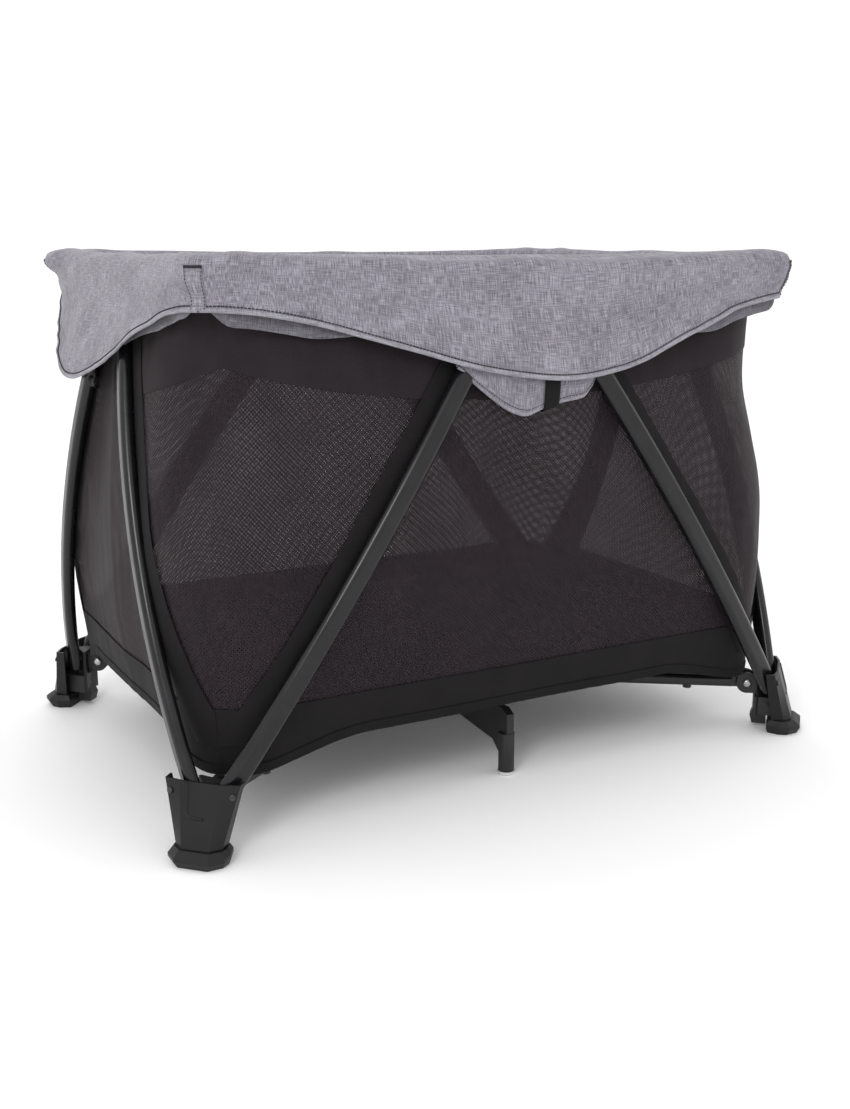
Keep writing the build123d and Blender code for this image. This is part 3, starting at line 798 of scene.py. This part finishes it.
# ------------------------------------------------------------------ what is on the feet
CASING_TOP, CASING_LOW = (-0.0045, 0.105), (0.020, 0.022)  # the casing's diagonal face: outward, height
SCREW_OUT, SCREW_ACROSS, SCREW_HEIGHT = -0.0040, 0.0440, 0.090
SCREW = ((0.0042, -0.001), (0.0042, 0.0009), (0.0036, 0.0016), (0.0018, 0.0017), (0.0015, 0.0008))
RIVET = ((0.0066, -0.002), (0.0066, 0.0012), (0.0052, 0.0024), (0.0026, 0.0031), (0.0006, 0.0032))


def foot_point(signs, out, across, z):
    """A point on a foot's own axes: out along its diagonal, and across it."""
    x = FOOT.x + (out - across) / math.sqrt(2)
    y = FOOT.y + (out + across) / math.sqrt(2)
    return Vector((signs[0] * x, signs[1] * y, z))


def face_out(z):
    return blended(CASING_LOW[0], CASING_TOP[0], (z - CASING_LOW[1]) / (CASING_TOP[1] - CASING_LOW[1]))


def facet_rib(quarter, signs):
    """The raised lip of the moulded panel on a casing's face, an L with a rounded corner."""
    route = ((-0.0185, 0.1040), (-0.0175, 0.0860), (-0.0165, 0.0700), (-0.0150, 0.0645), (-0.0110, 0.0618),
             (-0.0030, 0.0610), (0.0070, 0.0610))

    def place(a, b):
        k = a * (len(route) - 1)
        n = min(int(k), len(route) - 2)
        across = blended(route[n][0], route[n + 1][0], k - n)
        z = blended(route[n][1], route[n + 1][1], k - n)
        run = Vector((route[n + 1][0] - route[n][0], route[n + 1][1] - route[n][1])).normalized()
        aside = 0.0044 * (b - 0.5)
        proud = 0.0022 * math.sin(math.pi * b) - 0.0003
        z += aside * run.x
        return foot_point(signs, face_out(z) + proud, across - aside * run.y, z)

    return cloth(f"casing_lip_{quarter}", 36, 6, place, (0.07, 0.003), CASING)


def foot_details(quarter, signs):
    pieces = [facet_rib(quarter, signs)]
    for word, turn in (("left", -1), ("right", 1)):
        spot = foot_point(signs, SCREW_OUT, turn * SCREW_ACROSS, SCREW_HEIGHT)
        beyond = foot_point(signs, SCREW_OUT + 0.95, turn * (SCREW_ACROSS + 0.24), SCREW_HEIGHT + 0.261)
        aim = beyond - spot
        pieces.append(revolved(f"casing_screw_{word}_{quarter}", spot, aim, SCREW, DARK_STEEL))
    arm = Vector((signs[0] * ARM_END.x, signs[1] * ARM_END.y, ARM_END.z))
    ear = Vector((-arm.y, arm.x, 0)).normalized()
    for word, turn in (("left", -1), ("right", 1)):
        pieces.append(
            revolved(f"arm_rivet_{word}_{quarter}", arm + ear * turn * 0.0152, ear * turn, RIVET, STEEL)
        )
    for piece in pieces:
        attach(piece, f"foot_{quarter}")


def joint_buckle(side):
    """The black webbing tab and buckle that hang below a short side's flap."""
    out, at, top, low = 0.5035, -0.030, 0.622, 0.584

    def tab(a, b):
        puff = 0.003 * math.sin(math.pi * b)
        return to_world(side, at + 0.020 * (a - 0.5) * (1 + 0.2 * b), out + puff, blended(top, low, b))

    strap = cloth(f"tab_{side}", 6, 20, tab, (0.022, 0.057), BINDING)
    thicken(strap, 0.0016)

    def ladder(a, b):
        turn = 2 * math.pi * b
        swell = 0.0042 * (1 + 0.15 * math.cos(2 * math.pi * a))
        swing = out + 0.0015 + swell * math.cos(turn)
        return to_world(side, at + 0.030 * (a - 0.5), swing, low + 1.8 * swell * math.sin(turn))

    buckle = cloth(f"buckle_{side}", 16, 14, ladder, (0.03, 0.03), BINDING)
    for piece in (strap, buckle):
        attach(piece, f"joint_{side}")


# ------------------------------------------------------------------ studio
def studio():
    floor_material, tree, shader = new_material("studio_floor", (0.99, 0.99, 0.99), 0.9)
    place = add_node(tree, "ShaderNodeTexCoord").outputs["Object"]
    cloudy = noise_of(tree, place, (2, 2, 2))
    pale = ramp_of(tree, cloudy, ((0.3, (0.985, 0.985, 0.985)), (0.7, (1.0, 1.0, 1.0))))
    tree.links.new(pale, shader.inputs["Base Color"])
    reach, drop = 90, -0.0005
    corners = [(x * reach, y * reach, drop) for x, y in ((-1, -1), (1, -1), (1, 1), (-1, 1))]
    sweep = finish_mesh("studio_floor", corners, [(0, 1, 2, 3)], floor_material, smooth=False)
    world = bpy.data.worlds.new("studio")
    world.use_nodes = True
    world.node_tree.nodes["Background"].inputs["Color"].default_value = (1, 1, 1, 1)
    world.node_tree.nodes["Background"].inputs["Strength"].default_value = 1.08
    bpy.context.scene.world = world
    lamps = (  # name, place, watts, size
        ("key", (-2.4, -2.4, 2.2), 34, 1.0),
        ("fill", (2.8, -1.6, 1.6), 7, 1.6),
        ("back", (0.5, 2.8, 2.6), 16, 1.8),
    )
    for name, spot, power, size in lamps:
        lamp = bpy.data.lights.new(name, "AREA")
        lamp.energy, lamp.size = power, size
        holder = bpy.data.objects.new(name, lamp)
        holder.location = spot
        holder.rotation_euler = (Vector((0, 0, 0.4)) - Vector(spot)).to_track_quat("-Z", "Y").to_euler()
        bpy.context.scene.collection.objects.link(holder)
    camera = bpy.data.cameras.new("camera")
    camera.lens, camera.sensor_width = 42.14, 36.0
    holder = bpy.data.objects.new("camera", camera)
    holder.location = (-0.98313, -1.83654, 0.77926)
    holder.rotation_euler = (math.radians(90 - 13.55), 0, math.radians(-28.62))
    bpy.context.scene.collection.objects.link(holder)
    bpy.context.scene.camera = holder
    bpy.context.scene.view_settings.view_transform = "Standard"


studio()
coat_frame()
for side in SIDES:
    wall_cloth(side)
    rim_cloth(side)
quarters = [floor_cloth(quarter, *signs) for quarter, signs in QUARTERS.items()]
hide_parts("floor_panel")
mattress_pad()
for quarter, signs in QUARTERS.items():
    foot_details(quarter, signs)
for side in ("left", "right"):
    joint_buckle(side)
